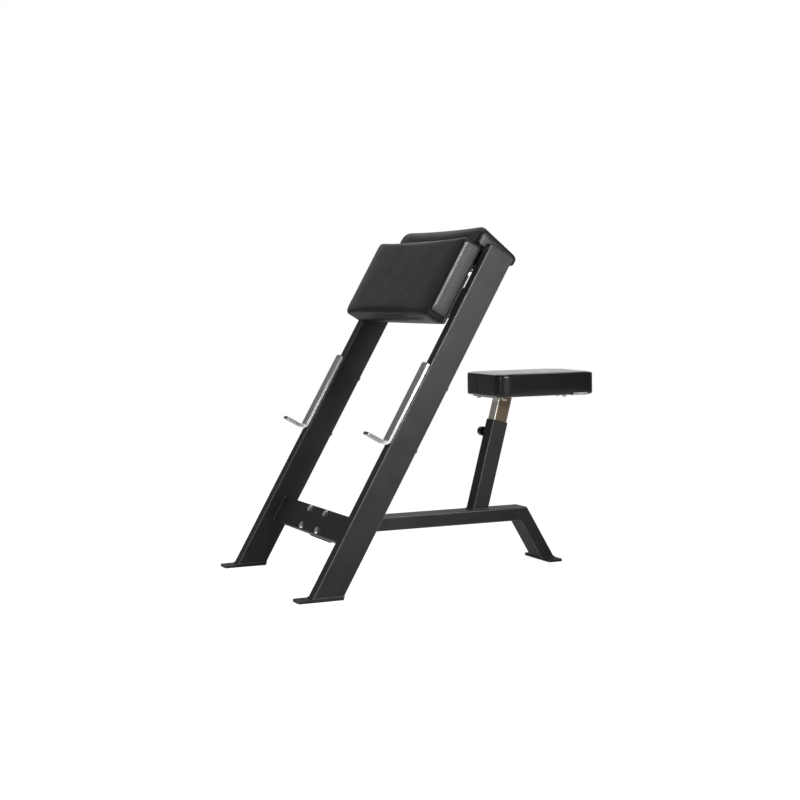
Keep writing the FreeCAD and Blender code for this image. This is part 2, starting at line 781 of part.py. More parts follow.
def top_pad():
    size = "top_tube_size"
    tube = cross_tube(
        "top_pad_tube", f"top_middle - {size} / 2", f"top_base - {size} / 2", size, size,
        "top_tube_corner", "top_tube_wall")
    holes = new_sketch(tube, "XY")
    for x, y in top_bolt_places():
        circle(holes, x, y, "pad_bolt_hole")
    cut_through(tube, holes)
    middle = ("top_middle", "0")
    outside = ("top_depth", "top_width")
    pad_board("top_pad_board", column_frame, "XY", "top_base", *outside, middle, top_bolt_places())
    body = new_body("top_pad_cushion", column_frame)
    rear_height = "(top_front_height - top_depth * tan(top_fall))"
    sides = []
    for rise, draw in side_shares[0:3:2]:
        section = new_sketch(body, "XY", f"top_base + {rise} * {rear_height}")
        across = [f"{side} - 2 * {draw} * pad_edge" for side in outside]
        rounded_rectangle(section, *across, "top_corner", *middle)
        sides.append(section)
    # The seam and the crown fall to the rear
    seam = "top_base + top_front_height - top_lead * tan(top_fall)"
    crowns = []
    for rise, draw, round_share in ((0, 0, 1),) + crown_shares:
        section = new_sketch(body, "XY", f"{seam} + {rise} * top_crown", tilt="top_fall")
        drawn_in = f"({side_shares[-1][1]} * pad_edge + {draw} * top_depth / 2)"
        across = [f"(top_depth - 2 * {drawn_in}) / cos(top_fall)", f"top_width - 2 * {drawn_in}"]
        rounded_rectangle(section, *across, f"{round_share} * top_corner", "top_middle / cos(top_fall)")
        crowns.append(section)
    loft(body, sides + crowns[:1])
    loft(body, crowns)
    board_recess(body, "XY", "top_base", *outside, middle)


def bar_rest(label, side):
    body = new_body(label, column_frame)
    y = f"{side} * column_y"
    outline = new_sketch(body, "XZ", f"-({y})")
    polygon(outline, (
        ("-rest_backing", "rest_bottom"),
        ("-rest_backing", "rest_bottom + rest_height"),
        ("-rest_front", "rest_bottom + rest_height"),
        ("-rest_front", "rest_bottom + rest_thickness"),
        ("-rest_reach", "rest_bottom + rest_thickness"),
        ("-rest_reach", "rest_bottom"),
    ))
    pad(body, outline, "rest_width", both=True)
    corners = {
        "rest_bend": (value("-rest_front"), value("rest_bottom + rest_thickness")),
        "rest_bend + rest_thickness": (value("-rest_backing"), value("rest_bottom")),
    }
    for radius, (x, z) in corners.items():
        dress(body, "Fillet", "Radius", radius, lambda edge: at_corner(edge, x, z))
    tip = value("-rest_reach")
    top = value("rest_bottom + rest_height")
    thick = value("rest_thickness")
    dress(body, "Fillet", "Radius", "rest_tip_corner", lambda edge: short_end(edge, tip, top, thick))
    holes = new_sketch(body, "YZ", "-rest_backing")
    for height in ("rest_screw_low", "rest_screw_high"):
        circle(holes, y, height, "bolt_diameter + 2 * thread_fit")
    cut_depth(body, holes, "rest_thread_depth")


def at_corner(edge, x, z):
    middle = edge_middle(edge)
    return near(middle.x, x) and near(middle.z, z)


def short_end(edge, tip, top, thick):
    # The corners of the rest's two ends, which are as long as the bar is thick
    middle = edge_middle(edge)
    return near(edge.Length, thick) and (near(middle.x, tip) or near(middle.z, top))


def rest_backing(label, side):
    # Thin rubber between a bar rest and its column
    body = new_body(label, column_frame)
    y = f"{side} * column_y"
    low = "rest_bottom + rest_bend + rest_thickness"
    rise = "rest_height - rest_bend - rest_thickness - rest_backing_margin"
    outline = new_sketch(body, "YZ", "-rest_backing")
    across = "rest_width - 2 * rest_backing_margin"
    rounded_rectangle(outline, across, rise, "rest_backing_margin", y, f"{low} + ({rise}) / 2")
    for height in ("rest_screw_low", "rest_screw_high"):
        circle(outline, y, height, "bolt_hole")
    pad(body, outline, "rest_backing")


def cylinder(name, diameter, length, start="0"):
    item = doc.addObject("Part::Cylinder", name)
    item.setExpression("Radius", bound(f"({diameter}) / 2"))
    item.setExpression("Height", bound(length))
    item.setExpression("Placement.Base.z", bound(start))
    return item


def hexagon(name, across, height, start="0"):
    item = doc.addObject("Part::Prism", name)
    item.Polygon = 6
    item.setExpression("Circumradius", bound(f"{across} / 2 / cos(30)"))
    item.setExpression("Height", bound(height))
    item.setExpression("Placement.Base.z", bound(start))
    return item


def joined(name, *items):
    whole = doc.addObject("Part::MultiFuse", name)
    whole.Shapes = list(items)
    return whole


def less(name, item, tool):
    rest = doc.addObject("Part::Cut", name)
    rest.Base = item
    rest.Tool = tool
    return rest


def hex_bolt(name, diameter, across, head, length):
    # The head bears at zero, and the shank points up
    return joined(
        name + "_pattern",
        hexagon(name + "_head", across, head, f"-{head}"),
        cylinder(name + "_shank", diameter, length))


def washer(name):
    disc = cylinder(name + "_disc", "washer_diameter", "washer_thickness")
    return less(name + "_pattern", disc, cylinder(name + "_hole", "bolt_hole", "washer_thickness"))


def hex_nut(name):
    block = hexagon(name + "_block", "bolt_across", "nut_height")
    bore = cylinder(name + "_bore", "bolt_diameter + 2 * thread_fit", "nut_height")
    return less(name + "_pattern", block, bore)


def dome_bolt(name, length):
    # The domed head bears at zero, and the shank points up
    dome = doc.addObject("Part::Cone", name + "_head")
    dome.setExpression("Radius1", bound("dome_flat / 2"))
    dome.setExpression("Radius2", bound("dome_diameter / 2"))
    dome.setExpression("Height", bound("dome_height"))
    dome.setExpression("Placement.Base.z", bound("-dome_height"))
    whole = joined(name + "_whole", dome, cylinder(name + "_shank", "bolt_diameter", length))
    socket = hexagon(name + "_socket", "dome_socket_across", "dome_socket_depth", "-dome_height")
    return less(name + "_pattern", whole, socket)


def set_out(label, pattern, frame, spots, turn):
    # Separate copies of one fastener, at their places in a frame
    doc.recompute()
    copies = []
    for x, y, z in spots:
        copy = pattern.Shape.copy()
        copy.Placement = FreeCAD.Placement(FreeCAD.Vector(value(x), value(y), value(z)), turn)
        copies.append(copy)
    group = doc.addObject("Part::Feature", label)
    group.Shape = Part.makeCompound(copies)
    place(group, *frame)
    nodes.append(group)


to_rear = FreeCAD.Rotation(FreeCAD.Vector(0, 1, 0), 90)
to_front = FreeCAD.Rotation(FreeCAD.Vector(0, 1, 0), -90)
upward = FreeCAD.Rotation()


def spine_fasteners():
    grip = "tube_width + flange_thickness"
    length = f"{grip} + washer_thickness + nut_height + bolt_spare"
    bolt = hex_bolt("spine_bolt", "bolt_diameter", "bolt_across", "bolt_head", length)
    bolts = [("cross_setback", y, z) for y, z in spine_bolt_places()]
    set_out("spine_bolts", bolt, column_frame, bolts, to_rear)
    washers = [("flange_rear", y, z) for y, z in spine_bolt_places()]
    set_out("spine_washers", washer("spine_washer"), column_frame, washers, to_rear)
    nuts = [("flange_rear + washer_thickness", y, z) for y, z in spine_bolt_places()]
    set_out("spine_nuts", hex_nut("spine_nut"), column_frame, nuts, to_rear)


def rest_fasteners():
    # From the rear face of a column through it and into the back of its bar rest
    heights = ("rest_screw_low", "rest_screw_high")
    spots = [(f"{side} * column_y", z) for side in ("-1", "1") for z in heights]
    length = "washer_thickness + tube_depth + rest_backing + rest_thread_depth - rest_bolt_short"
    bolts = [("tube_depth + washer_thickness", y, z) for y, z in spots]
    set_out("rest_bolts", dome_bolt("rest_bolt", length), column_frame, bolts, to_front)
    washers = [("tube_depth", y, z) for y, z in spots]
    set_out("rest_washers", washer("rest_washer"), column_frame, washers, to_rear)


def pad_fasteners():
    kind = ("pad_bolt_diameter", "pad_bolt_across", "pad_bolt_head")
    into_board = "board_thickness - pad_bolt_short"
    arm_bolt = hex_bolt("arm_bolt", *kind, f"arm_plate_thickness + {into_board}")
    arm_spots = [("arm_tube_front", y, z) for y, z in arm_bolt_places()]
    set_out("arm_pad_bolts", arm_bolt, column_frame, arm_spots, to_front)
    top_bolt = hex_bolt("top_bolt", *kind, f"top_tube_size + {into_board}")
    top_spots = [(x, y, "top_base - top_tube_size") for x, y in top_bolt_places()]
    set_out("top_pad_bolts", top_bolt, column_frame, top_spots, upward)
    seat_bolt = hex_bolt("seat_bolt", *kind, f"seat_plate_thickness + {into_board}")
    strap, plate = seat_bolt_places()
    seat_spots = [(x, y, "seat_under") for x, y in strap + plate]
    set_out("seat_bolts", seat_bolt, floor_frame, seat_spots, upward)


for side_name, side in (("left", "-1"), ("right", "1")):
    column("column_" + side_name, side)
    column_cap("column_cap_" + side_name, side)
    foot_plate("foot_plate_" + side_name, side)
    bar_rest("bar_rest_" + side_name, side)
    rest_backing("rest_backing_" + side_name, side)
lower_cross_tube()
spine_flange()
spine_beam()
rear_leg()
rear_foot_plate()
seat_sleeve()
sleeve_bush()
seat_post()
post_plug()
lock_housing()
lock_pin()
lock_knob()
lock_spring()
seat()
arm_pad()
top_pad()
spine_fasteners()
rest_fasteners()
pad_fasteners()
doc.recompute()

failed = [item.Label for item in doc.Objects if "Invalid" in item.State or "Error" in item.State]
for node in nodes:
    if node.Shape.isNull() or not node.Shape.isValid() or not node.Shape.Solids:
        failed.append(node.Label)
    elif node.TypeId == "PartDesign::Body" and len(node.Shape.Solids) > 1:
        failed.append(node.Label)
if failed:
    raise RuntimeError("not built: " + ", ".join(failed))
os.makedirs("parts", exist_ok=True)
for node in nodes:
    node.Shape.exportStep(f"parts/{node.Label}.step")
whole = Part.makeCompound([node.Shape for node in nodes]).BoundBox
print("nodes", len(nodes), "box", whole)
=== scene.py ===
import bpy
import json
import math
import numpy as np
from mathutils import Matrix, Vector


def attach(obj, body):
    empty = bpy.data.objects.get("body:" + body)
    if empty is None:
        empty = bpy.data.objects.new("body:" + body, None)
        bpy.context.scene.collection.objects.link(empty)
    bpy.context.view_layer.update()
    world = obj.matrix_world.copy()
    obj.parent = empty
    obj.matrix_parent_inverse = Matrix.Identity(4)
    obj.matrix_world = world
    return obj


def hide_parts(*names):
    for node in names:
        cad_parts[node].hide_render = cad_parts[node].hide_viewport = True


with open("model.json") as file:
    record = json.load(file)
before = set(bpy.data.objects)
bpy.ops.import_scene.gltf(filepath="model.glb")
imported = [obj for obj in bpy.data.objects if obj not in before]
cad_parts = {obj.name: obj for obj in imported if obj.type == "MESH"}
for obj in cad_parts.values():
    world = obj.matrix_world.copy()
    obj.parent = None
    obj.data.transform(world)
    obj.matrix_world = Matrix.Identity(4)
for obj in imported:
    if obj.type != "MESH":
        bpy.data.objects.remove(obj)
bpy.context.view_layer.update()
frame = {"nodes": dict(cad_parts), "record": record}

scene = bpy.context.scene
nodes = frame["nodes"]
print("bench loaded:", len(nodes), "nodes")

# where the leaning parts stand, in metres and degrees
bench = dict(startX=-0.4917334, columnLean=30, sleeveLean=15, sleeveFoot=0.6715, beamTop=0.170)
bothSides = (("Left", -1), ("Right", 1))
tiny = 1e-12


# helpers for shapes

def leaned(across, side, up, lean, along, base):
    # frame of a leaning part to bench frame: a turn about Y, then a step to its foot
    turn = math.radians(lean)
    x = across * math.cos(turn) + up * math.sin(turn) + along
    z = up * math.cos(turn) - across * math.sin(turn) + base
    return np.stack(np.broadcast_arrays(x, side, z), -1)


def onColumn(depth, side, up):
    return leaned(depth, side, up, bench["columnLean"], bench["startX"], 0.0)


def onSleeve(across, side, up):
    foot = bench["startX"] + bench["sleeveFoot"]
    return leaned(across, side, up, bench["sleeveLean"], foot, bench["beamTop"])


def level(across, side, up):
    # floor frame to bench frame: a step along X
    return np.stack(np.broadcast_arrays(across + bench["startX"], side, up), -1)


def ringPoints(halfLong, halfWide, corner, shares, arcSteps=16):
    # rounded rectangle walked at even speed: four quarter arcs joined by straights, a point at each share
    turn = np.linspace(0, np.pi / 2, arcSteps)
    arcs = []
    for k, (sx, sy) in enumerate(((1, 1), (-1, 1), (-1, -1), (1, -1))):
        angle = turn + k * np.pi / 2
        arcs.append(np.stack([
            sx * (halfLong - corner) + corner * np.cos(angle),
            sy * (halfWide - corner) + corner * np.sin(angle)], -1))
    walk = np.concatenate(arcs + [arcs[0][:1]])
    step = np.linalg.norm(np.diff(walk, axis=0), axis=1)
    length = np.concatenate([[0], np.cumsum(step)])
    at = np.mod(shares, 1.0) * length[-1]
    return np.stack([np.interp(at, length, walk[:, 0]), np.interp(at, length, walk[:, 1])], -1)


def gridFaces(rows, columns, closed):
    # quads between neighbouring points of a grid whose columns may close on themselves
    r = np.arange(rows - 1)[:, None]
    c = np.arange(columns if closed else columns - 1)[None, :]
    n = (c + 1) % columns
    quads = np.stack([r * columns + c, r * columns + n, (r + 1) * columns + n, (r + 1) * columns + c], -1)
    return quads.reshape(-1, 4)


def newPiece(name, points, faces, material, body, smooth=True):
    mesh = bpy.data.meshes.new(name)
    mesh.from_pydata(np.asarray(points).reshape(-1, 3).tolist(), [], [list(f) for f in faces])
    mesh.polygons.foreach_set("use_smooth", np.full(len(mesh.polygons), smooth))
    mesh.materials.append(material)
    mesh.update()
    piece = bpy.data.objects.new(name, mesh)
    scene.collection.objects.link(piece)
    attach(piece, body)
    return piece


def tubePoints(path, radius, sides, closed, up):
    # a round section carried along a path, square to it
    ahead = np.roll(path, -1, 0) - np.roll(path, 1, 0)
    if not closed:
        ahead[0] = path[1] - path[0]
        ahead[-1] = path[-1] - path[-2]
    ahead /= np.linalg.norm(ahead, axis=1)[:, None]
    across = np.cross(ahead, np.broadcast_to(up, path.shape))
    across /= np.linalg.norm(across, axis=1)[:, None] + tiny
    lift = np.cross(across, ahead)
    angle = np.linspace(0, 2 * np.pi, sides, endpoint=False)
    wide = np.cos(angle)[None, :, None] * across[:, None, :]
    high = np.sin(angle)[None, :, None] * lift[:, None, :]
    return path[:, None, :] + np.asarray(radius).reshape(-1, 1, 1) * (wide + high)


def tubeFaces(count, sides, closed):
    # quads round the tube, joined to its start or closed by two end caps
    quads = gridFaces(count + (1 if closed else 0), sides, True)
    if closed:
        return (quads % (count * sides))[:, ::-1].tolist()
    ends = [list(range(sides)), list(range((count - 1) * sides, count * sides))[::-1]]
    return quads[:, ::-1].tolist() + ends


# helpers for finishes

def grey(tone):
    return (tone,) * 3


def newFinish(name, colour, rough, metal=0.0, specular=0.5):
    # a shader with its even values set on its own sockets, and object coordinates to build on
    material = bpy.data.materials.new(name)
    material.use_nodes = True
    tree = material.node_tree
    shader = tree.nodes["Principled BSDF"]
    shader.inputs["Base Color"].default_value = (*colour, 1)
    shader.inputs["Roughness"].default_value = rough
    shader.inputs["Metallic"].default_value = metal
    shader.inputs["Specular IOR Level"].default_value = specular
    place = tree.nodes.new("ShaderNodeTexCoord")
    return material, tree, shader, place.outputs["Object"]


def noise(tree, vector, scale, detail=4.0, rough=0.55):
    item = tree.nodes.new("ShaderNodeTexNoise")
    item.inputs["Scale"].default_value = scale
    item.inputs["Detail"].default_value = detail
    item.inputs["Roughness"].default_value = rough
    tree.links.new(vector, item.inputs["Vector"])
    return item.outputs["Fac"]


def spread(tree, fac, low, high, start=0.3, end=0.7):
    # a number that runs from low to high as the pattern runs from start to end
    item = tree.nodes.new("ShaderNodeMapRange")
    for key, number in (("From Min", start), ("From Max", end), ("To Min", low), ("To Max", high)):
        item.inputs[key].default_value = number
    tree.links.new(fac, item.inputs["Value"])
    return item.outputs["Result"]


def blendColour(tree, fac, low, high, start=0.3, end=0.7):
    item = tree.nodes.new("ShaderNodeValToRGB")
    item.color_ramp.elements[0].position = start
    item.color_ramp.elements[1].position = end
    item.color_ramp.elements[0].color = (*low, 1)
    item.color_ramp.elements[1].color = (*high, 1)
    tree.links.new(fac, item.inputs["Fac"])
    return item.outputs["Color"]


def combined(tree, operation, first, second):
    item = tree.nodes.new("ShaderNodeMath")
    item.operation = operation
    tree.links.new(first, item.inputs[0])
    tree.links.new(second, item.inputs[1])
    return item.outputs[0]


def mixed(tree, fac, first, second):
    item = tree.nodes.new("ShaderNodeMix")
    item.data_type = "RGBA"
    tree.links.new(fac, item.inputs[0])
    tree.links.new(first, item.inputs[6])
    tree.links.new(second, item.inputs[7])
    return item.outputs[2]


def tint(tree, shader, fac, low, high):
    tree.links.new(blendColour(tree, fac, low, high), shader.inputs["Base Color"])


def gloss(tree, shader, fac, low, high):
    tree.links.new(spread(tree, fac, low, high), shader.inputs["Roughness"])


def bump(tree, shader, height, distance, strength, under=None):
    item = tree.nodes.new("ShaderNodeBump")
    item.inputs["Strength"].default_value = strength
    item.inputs["Distance"].default_value = distance
    tree.links.new(height, item.inputs["Height"])
    if under:
        tree.links.new(under, item.inputs["Normal"])
    tree.links.new(item.outputs["Normal"], shader.inputs["Normal"])
    return item.outputs["Normal"]


def turnedPlace(tree, vector, lean, scale):
    # object coordinates turned upright along a leaning part and stretched
    item = tree.nodes.new("ShaderNodeMapping")
    item.vector_type = "TEXTURE"
    item.inputs["Rotation"].default_value = (0, math.radians(lean), 0)
    item.inputs["Scale"].default_value = scale
    tree.links.new(vector, item.inputs["Vector"])
    return item.outputs["Vector"]


def axisPart(tree, vector, axis):
    parts = tree.nodes.new("ShaderNodeSeparateXYZ")
    tree.links.new(vector, parts.inputs[0])
    return parts.outputs[axis]


def acrossShare(tree):
    # how far a face is turned to the side of the bench, from zero to one
    turned = tree.nodes.new("ShaderNodeTexCoord")
    item = tree.nodes.new("ShaderNodeMath")
    item.operation = "ABSOLUTE"
    tree.links.new(axisPart(tree, turned.outputs["Normal"], "Y"), item.inputs[0])
    return item.outputs[0]


# how far a face is turned to the side where a tube's corner starts, where it ends, and where a side face starts
turns = dict(cornerStart=(0.30, 0.55), cornerEnd=(0.80, 0.95), sideStart=(0.45, 0.75))


def cornerHighlightShare(tree, share):
    # one in the middle of a tube's rounded corner, zero on its flats; it places the painted corner highlights
    starting = spread(tree, share, 0, 1, *turns["cornerStart"])
    return combined(tree, "MULTIPLY", starting, spread(tree, share, 1, 0, *turns["cornerEnd"]))


def lipShare(tree, place, reach=0.026, bend=0.014):
    # one on the lips that stand out in front of the columns, zero on the upright bars
    front = bench["startX"] * math.cos(math.radians(bench["columnLean"]))
    depth = axisPart(tree, turnedPlace(tree, place, bench["columnLean"], (1, 1, 1)), "X")
    return spread(tree, depth, 1, 0, front - reach, front - bend)


# finishes

# the paler corner tones are a painted highlight along the tubes' rounded corners
coat = dict(low=(0.021, 0.0212, 0.0218), high=(0.028, 0.0283, 0.029), cornerHighlightLow=grey(0.07), cornerHighlightHigh=grey(0.14),
            rough=0.5, roughLow=0.44, roughHigh=0.54, specular=0.06)
# painted light on the bright bars: side faces paler and corners near white as painted highlights, the lips that
# stand out darker as painted shade
barMetal = dict(
    face=((0.24, 0.24, 0.236), (0.46, 0.456, 0.445)), side=((0.66, 0.66, 0.645), (0.86, 0.86, 0.84)),
    corner=((0.75, 0.75, 0.74), (0.90, 0.90, 0.88)), rough=0.30, lean=bench["columnLean"],
    lipShade=(((0.07, 0.07, 0.069), (0.14, 0.14, 0.137)), ((0.19, 0.19, 0.186), (0.36, 0.36, 0.352))))
# painted light on the steel post: front faces lighter and side faces darker as painted shade, corners near white
# as a painted highlight
postMetal = dict(
    face=((0.52, 0.485, 0.45), (0.74, 0.69, 0.64)), side=((0.19, 0.142, 0.10), (0.30, 0.228, 0.162)),
    corner=((0.85, 0.83, 0.80), (0.95, 0.93, 0.90)), rough=0.28, lean=bench["sleeveLean"])
streaks = dict(size=(0.0011, 0.0011, 0.11), gloss=0.07)
padVinyl = dict(tone=0.0080, rough=0.43, specular=0.18)
seatVinyl = dict(tone=0.0042, rough=0.22, specular=0.40)
leather = dict(cells=520, groove=0.25, gloss=0.04)


def powderCoat():
    # baked powder: soft cloudy tone and fine orange-peel skin, with a paler painted highlight along the tubes'
    # rounded corners
    material, tree, shader, place = newFinish(
        "powderCoat", coat["low"], coat["rough"], specular=coat["specular"])
    flat = blendColour(tree, noise(tree, place, scale=9, detail=5, rough=0.6), coat["low"], coat["high"])
    # painted highlight: a paler tone on the tubes' rounded corners
    edge = blendColour(tree, noise(tree, place, scale=120, rough=0.6), coat["cornerHighlightLow"], coat["cornerHighlightHigh"])
    tree.links.new(mixed(tree, cornerHighlightShare(tree, acrossShare(tree)), flat, edge), shader.inputs["Base Color"])
    gloss(tree, shader, noise(tree, place, scale=4, detail=6, rough=0.65), coat["roughLow"], coat["roughHigh"])
    bump(tree, shader, noise(tree, place, scale=700, detail=3, rough=0.5), distance=0.0004, strength=0.25)
    return material


def mouldedPlastic(name, tone, rough):
    # moulded plastic: even colour with a fine spark-eroded skin
    material, tree, shader, place = newFinish(name, grey(tone), rough, specular=0.1)
    tint(tree, shader, noise(tree, place, scale=60), grey(tone * 0.8), grey(tone * 1.2))
    bump(tree, shader, noise(tree, place, scale=1500, detail=2), distance=0.0003, strength=0.3)
    return material


def brushedMetal(name, face, side, corner, rough, lean, lipShade=None):
    # metal drawn along one way: long thin streaks in tone, gloss and skin
    # painted light and shade: side faces get a lighter or darker tone than the front faces, the lips that stand
    # out a darker painted shade, and rounded corners a pale painted highlight
    material, tree, shader, place = newFinish(name, face[0], rough, metal=1.0)
    drawn = turnedPlace(tree, place, lean, streaks["size"])
    streak = noise(tree, drawn, scale=1.0, detail=5, rough=0.65)
    tones = [blendColour(tree, streak, *tone) for tone in (face, side)]
    # painted shade: the lips that stand out take darker tones
    if lipShade:
        lipShadeShare = lipShare(tree, place)
        shadedLipTones = [blendColour(tree, streak, *tone) for tone in lipShade]
        tones = [mixed(tree, lipShadeShare, *pair) for pair in zip(tones, shadedLipTones)]
    share = acrossShare(tree)
    # painted light and shade: side faces take a lighter or darker tone than the front faces
    litAndShadedFlats = mixed(tree, spread(tree, share, 0, 1, *turns["sideStart"]), *tones)
    # painted highlight: the rounded corners take a pale tone
    edge = blendColour(tree, streak, *corner)
    tree.links.new(mixed(tree, cornerHighlightShare(tree, share), litAndShadedFlats, edge), shader.inputs["Base Color"])
    gloss(tree, shader, streak, rough + streaks["gloss"], rough - streaks["gloss"])
    bump(tree, shader, streak, distance=0.0003, strength=0.18)
    return material


def cutSteel():
    # zinc-bright fasteners and plates: soft blotches and a slight tumble texture
    material, tree, shader, place = newFinish("cutSteel", (0.56, 0.56, 0.55), 0.32, metal=1.0)
    patch = noise(tree, place, scale=45, detail=5, rough=0.6)
    tint(tree, shader, patch, (0.62, 0.62, 0.61), (0.80, 0.80, 0.79))
    gloss(tree, shader, noise(tree, place, scale=130), 0.24, 0.42)
    bump(tree, shader, noise(tree, place, scale=420, detail=3), distance=0.0003, strength=0.2)
    return material


def blackenedSteel():
    material, tree, shader, place = newFinish("blackenedSteel", (0.018, 0.018, 0.019), 0.38)
    gloss(tree, shader, noise(tree, place, scale=180), 0.3, 0.5)
    bump(tree, shader, noise(tree, place, scale=600, detail=3), distance=0.0003, strength=0.25)
    return material


def backingRubber():
    material, tree, shader, place = newFinish("backingRubber", grey(0.014), 0.8)
    tint(tree, shader, noise(tree, place, scale=80), grey(0.010), grey(0.020))
    bump(tree, shader, noise(tree, place, scale=900, detail=2), distance=0.0004, strength=0.35)
    return material


def stainedPly(lean):
    # black-stained plywood: long figure along Y
    material, tree, shader, place = newFinish("stainedPly", (0.03, 0.026, 0.022), 0.6, specular=0.2)
    figure = noise(tree, turnedPlace(tree, place, lean, (0.02, 0.32, 0.02)), scale=1.6, detail=6, rough=0.6)
    tint(tree, shader, figure, (0.020, 0.017, 0.014), (0.038, 0.032, 0.027))
    gloss(tree, shader, figure, 0.68, 0.52)
    bump(tree, shader, figure, distance=0.0006, strength=0.25)
    return material


def blackVinyl(name, tone, rough, specular):
    # upholstery vinyl: pressed leather grain of small cells with fine pores, soft cloudy gloss
    material, tree, shader, place = newFinish(name, grey(tone), rough, specular=specular)
    cells = tree.nodes.new("ShaderNodeTexVoronoi")
    cells.feature = "DISTANCE_TO_EDGE"
    cells.inputs["Scale"].default_value = leather["cells"]
    tree.links.new(place, cells.inputs["Vector"])
    tint(tree, shader, noise(tree, place, scale=14, detail=5), grey(tone * 0.9), grey(tone * 1.1))
    cloud = noise(tree, place, scale=22, detail=5)
    gloss(tree, shader, cloud, rough - leather["gloss"], rough + leather["gloss"])
    grain = spread(tree, cells.outputs["Distance"], 0, 1, 0.0, leather["groove"])
    skin = bump(tree, shader, grain, distance=0.0003, strength=0.20)
    bump(tree, shader, noise(tree, place, scale=1300, detail=3), distance=0.0002, strength=0.12, under=skin)
    return material


def sewingThread(name, tone):
    # twisted thread: fine fibres in tone and skin
    material, tree, shader, place = newFinish(name, grey(tone), 0.6, specular=0.1)
    tint(tree, shader, noise(tree, place, scale=1400, detail=2), grey(tone * 0.75), grey(tone * 1.15))
    bump(tree, shader, noise(tree, place, scale=2200, detail=2), distance=0.0003, strength=0.3)
    return material


finishes = dict(
    powder_coat=powderCoat(),
    black_plastic=mouldedPlastic("capPlastic", tone=0.010, rough=0.5),
    knob_plastic=mouldedPlastic("knobPlastic", tone=0.004, rough=0.36),
    brushed_bar=brushedMetal("brushedBar", **barMetal),
    stainless=brushedMetal("stainlessPost", **postMetal),
    bright_steel=cutSteel(),
    black_steel=blackenedSteel(),
    backing_rubber=backingRubber(),
    plywood=stainedPly(bench["columnLean"]),
    vinyl=blackVinyl("padVinyl", **padVinyl),
)
glossVinyl = blackVinyl("seatVinyl", **seatVinyl)
lightThread = sewingThread("lightThread", tone=0.40)
darkThread = sewingThread("darkThread", tone=0.004)

for part in frame["record"]["subparts"]:
    solid = nodes[part["node"]]
    solid.data.materials.clear()
    solid.data.materials.append(finishes[part["material_slot"]])
print("finishes set:", len(finishes))


# padded pieces

# each end of a pad draws its outline in: how far at the front, back, bottom and top, and over what lengths
armEnd = dict(draw=(0.006, 0.001, 0.026, 0.012), rise=(0.006, 0.022))
topEnd = dict(draw=(0.010, 0.012, 0.002, 0.026), rise=(0.012, 0.042))
seatBase = dict(draw=(0.003,) * 4, rise=(0.003, 0.003))
seatTop = dict(draw=(0.006,) * 4, rise=(0.005, 0.005))
# held: where the cover is fixed; seamInset: how far a seam lies from the pad's end
armPad = dict(
    name="armPadCover", node="arm_pad_cushion", body="frame", halfLong=0.0285, halfWide=0.1265, corner=0.008,
    length=0.612, ends=(armEnd, armEnd), voxel=0.005, pressure=4.0, most=0.005, fill=0.75, seamInset=0.0012,
    depth=-0.0365, start=-0.306, up=0.9755,
    held=dict(back=-0.013, edge=(0.296, 0.3045), bandSide=0.300, bandDepth=-0.042))
topPad = dict(
    name="topPadCover", node="top_pad_cushion", body="frame", halfLong=0.068, halfWide=0.0325, corner=0.014,
    length=0.563, ends=(topEnd, topEnd), voxel=0.005, pressure=4.0, most=0.006, fill=0.75, seamInset=0.004,
    depth=0.050, start=-0.2815, up=1.103, fall=10, fallFrom=-0.018, fallHigh=0.059,
    held=dict(base=1.109, edge=(0.258, 0.270)))
seatPad = dict(
    name="seatCover", node="seat_cushion", body="seat", halfLong=0.165, halfWide=0.120, corner=0.030,
    length=0.0685, ends=(seatBase, seatTop), voxel=0.005, pressure=4.0, most=0.0012, fill=0.85, seamInset=0.0060,
    along=0.85547, up=0.514,
    held=dict(base=0.519, seam=0.5755, jointSide=0.030, jointAlong=0.694, reach=0.005))
# how many points lie round a pad, and how many rows on its ends, its edges and between them
padGrid = dict(around=160, cap=10, capStart=0.04, edge=12, middle=40)
clothRun = dict(frames=20, quality=5)


def armPlace(along, wide, rise):
    # section in depth and height, carried across the bench
    return onColumn(along + armPad["depth"], rise + armPad["start"], wide + armPad["up"])


def topPlace(along, wide, rise):
    # section in depth and height, carried across the bench; its top falls to the rear
    depth = along + topPad["depth"]
    fall = math.tan(math.radians(topPad["fall"])) * (depth - topPad["fallFrom"]) / topPad["fallHigh"]
    return onColumn(depth, rise + topPad["start"], topPad["up"] + (wide + topPad["halfWide"]) * (1 - fall))


def seatPlace(along, wide, rise):
    return level(along + seatPad["along"], wide, rise + seatPad["up"])


def offColumn(spots):
    # bench frame back to depth, side and height of the column frame
    lean = math.radians(bench["columnLean"])
    x, z = spots[:, 0] - bench["startX"], spots[:, 2]
    return x * math.cos(lean) - z * math.sin(lean), spots[:, 1], x * math.sin(lean) + z * math.cos(lean)


def padPoint(pad, shares, rise, shrink=1.0, sunk=0.0):
    # a rounded outline whose four sides draw in along elliptic quarters near the pad's ends
    # shrink scales it to its middle, sunk sets it in by a length
    start, finish = pad["ends"]
    end, away = (start, rise) if rise < pad["length"] / 2 else (finish, pad["length"] - rise)
    far = 1 - np.minimum(away / np.array(end["rise"]), 1)
    front, back, low, high = np.array(end["draw"]) * np.repeat(1 - np.sqrt(1 - far ** 2), 2)
    long, wide = pad["halfLong"] - (front + back) / 2 - sunk, pad["halfWide"] - (low + high) / 2 - sunk
    flat = ringPoints(long, wide, pad["corner"], shares)
    return pad["place"](flat[:, 0] * shrink + (front - back) / 2, flat[:, 1] * shrink + (low - high) / 2,
                        np.full(len(flat), rise))


